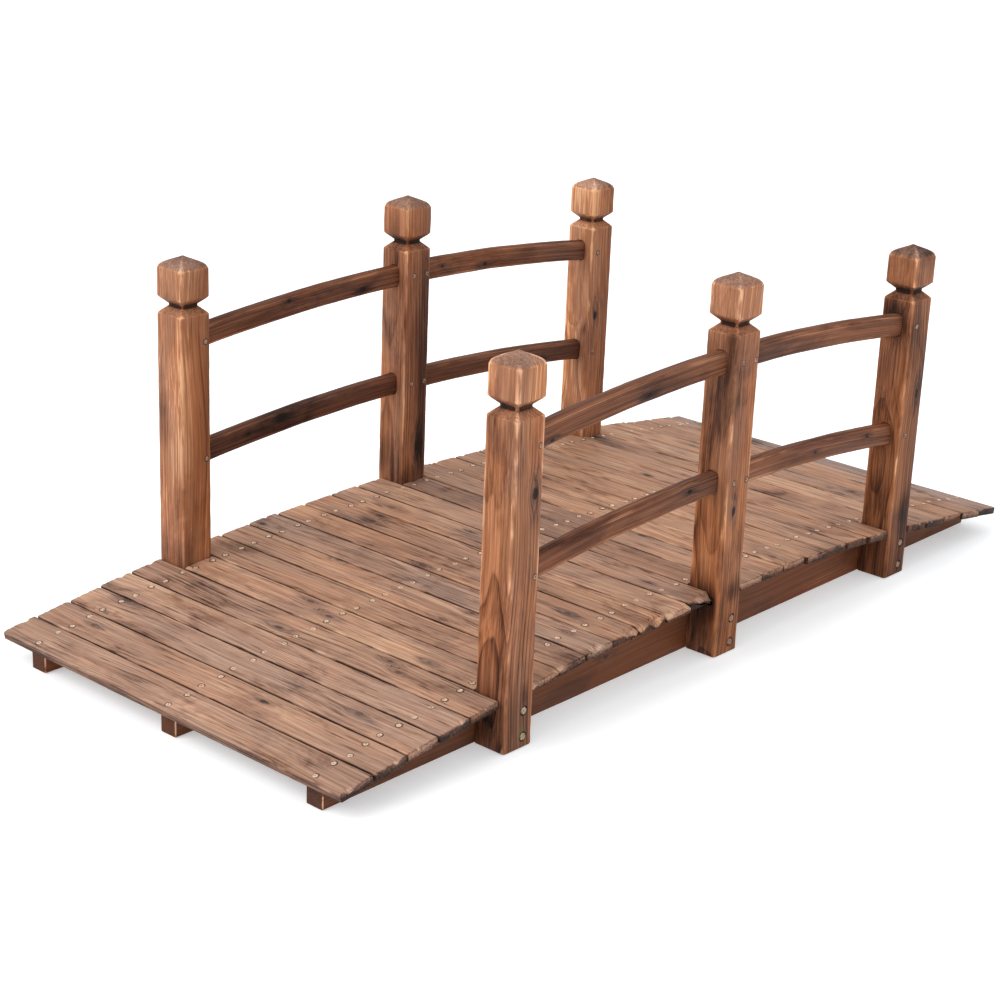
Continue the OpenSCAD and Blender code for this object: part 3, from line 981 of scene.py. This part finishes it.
def gather(name, parts, materials):
    # parts is a list of (vertices, faces, matrix, material number), joined into one mesh
    verts, faces, numbers = [], [], []
    for v, f, matrix, number in parts:
        base = len(verts)
        m = np.array(matrix)
        moved = v @ m[:3, :3].T + m[:3, 3]
        verts.extend(moved.tolist())
        faces.extend(tuple(base + i for i in face) for face in f)
        numbers.extend([number] * len(f))
    mesh = bpy.data.meshes.new(name)
    mesh.from_pydata(verts, [], faces)
    for material in materials:
        mesh.materials.append(material)
    mesh.polygons.foreach_set("material_index", numbers)
    mesh.update()
    piece = place(name, mesh, 40)
    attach(piece, "root")


def facing(origin, up, spin=0.0):
    # a matrix that stands a part at origin with its axis along up
    rotation = Vector((0, 0, 1)).rotation_difference(Vector(up)).to_matrix().to_4x4()
    return Matrix.Translation(Vector(origin)) @ rotation @ Matrix.Rotation(spin, 4, "Z")


print("screws")
rows = []
for name in stringers["names"]:
    low, high = span(name)
    rows.append((name.split("_")[1], (low[1] + high[1]) / 2))
for rowName, rowY in rows:
    parts = []
    draw = np.random.default_rng(int(1000 + rowY * 1000))
    for k in range(boards["count"]):
        turn = (k - middle) * boardAngle
        for side in (-1, 1):
            x = side * screws["sideways"] + draw.uniform(-1.2, 1.2) * mm
            y = rowY + draw.uniform(-2.5, 2.5) * mm
            spot = onDeck(k, x, y, 0.05 * mm)
            up = (math.sin(turn) + draw.uniform(-0.06, 0.06), draw.uniform(-0.06, 0.06), math.cos(turn))
            head, headFaces = screwHead(int(draw.integers(1e6)))
            ring, ringFaces = collar(screws["radius"] * 0.9, screws["radius"] * 1.35, screws["crushedAndShadeRing"])
            parts.append((head, headFaces, facing(spot, up), 0))
            parts.append((ring, ringFaces, facing(spot, up), 1))
    gather("deck_screws_" + rowName, parts, [screwZinc, crushedWoodAndShade])

parts = []
for name in railNames:
    level, _, row, bay = name.split("_")
    radius, middleLine, depth = railArc(name)
    for where in ("left", "middle") if bay == "left" else ("middle", "right"):
        low, high = span("post_%s_%s" % (row, where))
        railOnRight = (where == "left") or (where == "middle" and bay == "right")
        x = (low[0] + high[0]) / 2 + (screws["rightOfPost"] if railOnRight else -screws["leftOfPost"])
        z = middleLine - radius + math.sqrt(radius ** 2 - x ** 2)
        draw = np.random.default_rng(int(abs(x) * 10000) + len(level + row))
        face = low[1] - posts["fuller"] - 0.1 * mm
        spot = (x + draw.uniform(-1, 1) * mm, face, z + draw.uniform(-2, 2) * mm)
        head, headFaces = screwHead(int(draw.integers(1e6)))
        ring, ringFaces = collar(screws["radius"] * 0.9, screws["radius"] * 1.4, screws["crushedAndShadeRing"])
        matrix = facing(spot, (draw.uniform(-0.05, 0.05), -1, draw.uniform(-0.05, 0.05)))
        parts.append((head * screws["railScrew"], headFaces, matrix, 0))
        parts.append((ring * screws["railScrew"], ringFaces, matrix, 1))
gather("rail_screws", parts, [screwDull, crushedWoodAndShade])


def hexHead(flat, height):
    # a hexagon head with its corners turned off at the top, axis up, foot at 0
    count = bolts["headRound"]
    verts = []
    for ring, z in enumerate((0.0, height * 0.78, height, height * 1.02)):
        for k in range(count):
            a = 2 * math.pi * k / count
            corner = flat / math.cos((a + math.pi / 6) % (math.pi / 3) - math.pi / 6)
            turnedOff = max(0, corner - flat * 1.04) * 0.5 if ring == 1 else 0
            r = (corner, corner, min(corner, flat * 1.06) * 0.93, flat * 0.6)[ring]
            verts.append((r * math.cos(a), r * math.sin(a), z - turnedOff))
    caps = [tuple(range(3 * count, 4 * count)), tuple(reversed(range(count)))]
    return np.array(verts), bands(4, count) + caps


def disc(radius, hole, thick):
    # a flat ring with an eased edge: a washer, or the end of a shank
    sizes = ((hole, 0), (radius, 0), (radius, thick * 0.7), (radius * 0.96, thick), (hole, thick))
    return turned(sizes, bolts["round"]), bands(5, bolts["round"], closed=True)


print("bolts")
parts = []
washer, washerFaces = disc(bolts["washer"], bolts["washerHole"], bolts["washerThick"])
shank, shankFaces = disc(bolts["shank"], bolts["shankHole"], bolts["shankEnd"])
head, headFaces = hexHead(bolts["flat"], bolts["head"])
seat = [0, 0, bolts["seat"]]
for name in postNames:
    low, high = span(name)
    centre = (low + high) / 2
    half = (high[1] - low[1]) / 2
    outward = -1 if centre[1] < 0 else 1
    beamLow, beamHigh = span("stringer_near" if outward < 0 else "stringer_far")
    innerFace = beamHigh[1] if outward < 0 else beamLow[1]
    coat = 0 if name == "post_near_left" else 1
    draw = np.random.default_rng(int(centre[0] * 100 + 500 + outward * 7))
    for z in bolts["heights"]:
        x = centre[0] + bolts["offset"]
        spot = (x, centre[1] + outward * (half - posts["recessDepth"]), z)
        matrix = facing(spot, (0, outward, 0), draw.uniform(0, 1))
        parts.append((washer, washerFaces, matrix, 1))
        parts.append((head + seat, headFaces, matrix, coat))
        # the nut and the end of the shank, inside
        matrix = facing((x, innerFace, z), (0, -outward, 0), draw.uniform(0, 1))
        parts.append((washer, washerFaces, matrix, 0))
        parts.append((head * [1, 1, bolts["nutTaller"]] + seat, headFaces, matrix, 0))
        parts.append((shank, shankFaces, matrix, 0))
gather("frame_bolts", parts, [boltZinc, boltRusty])


studio = {
    "floor": (0.76, 0.785, 0.81), "floorGlow": 0.38, "floorReach": 30, "floorDrop": 0.5 * mm, "sky": 1.0,
    "key": {"from": (-0.75, 0.3, 0.75), "spread": 45, "strength": 1.5, "colour": (1.0, 0.98, 0.95)},
    "camera": {
        "at": (-2.3823, -1.9915, 1.2535), "forward": (0.70713, 0.62136, -0.33745),
        "roll": 2.31, "lens": 77.65, "sensor": 36,
    },
}

print("studio")
floorMesh = bpy.data.meshes.new("floor")
reach = studio["floorReach"]
corners = [(-reach, -reach, 0), (reach, -reach, 0), (reach, reach, 0), (-reach, reach, 0)]
floorMesh.from_pydata(corners, [], [(0, 1, 2, 3)])
floor = bpy.data.objects.new("floor", floorMesh)
scene.collection.objects.link(floor)
floor.location.z = -studio["floorDrop"]
floorPaint = Nodes("floorPaint")
paint = floorPaint.add("ShaderNodeBsdfPrincipled", Roughness=0.9)
paint.inputs["Base Color"].default_value = (*studio["floor"], 1)
paint.inputs["Specular IOR Level"].default_value = 0.1
paint.inputs["Emission Color"].default_value = (1, 1, 1, 1)
paint.inputs["Emission Strength"].default_value = studio["floorGlow"]
floorPaint.add("ShaderNodeOutputMaterial", Surface=paint.outputs[0])
floorMesh.materials.append(floorPaint.material)

world = bpy.data.worlds.new("studio")
scene.world = world
world.use_nodes = True
world.node_tree.nodes["Background"].inputs[0].default_value = (1, 1, 1, 1)
world.node_tree.nodes["Background"].inputs[1].default_value = studio["sky"]


def bigSoftLight(name, look):
    lamp = bpy.data.lights.new(name, "SUN")
    lamp.angle = math.radians(look["spread"])
    lamp.energy = look["strength"]
    lamp.color = look["colour"]
    holder = bpy.data.objects.new(name, lamp)
    holder.rotation_euler = (-Vector(look["from"])).to_track_quat("-Z", "Y").to_euler()
    scene.collection.objects.link(holder)


bigSoftLight("keyLight", studio["key"])

cameraLook = studio["camera"]
cameraData = bpy.data.cameras.new("camera")
cameraData.lens = cameraLook["lens"]
cameraData.sensor_width = cameraLook["sensor"]
camera = bpy.data.objects.new("camera", cameraData)
camera.location = cameraLook["at"]
toFront = Vector(cameraLook["forward"]).to_track_quat("-Z", "Y").to_matrix().to_4x4()
roll = Matrix.Rotation(math.radians(cameraLook["roll"]), 4, "Z")
camera.rotation_euler = (toFront @ roll).to_euler()
scene.collection.objects.link(camera)
scene.camera = camera
scene.view_settings.view_transform = "Standard"

bpy.context.view_layer.update()
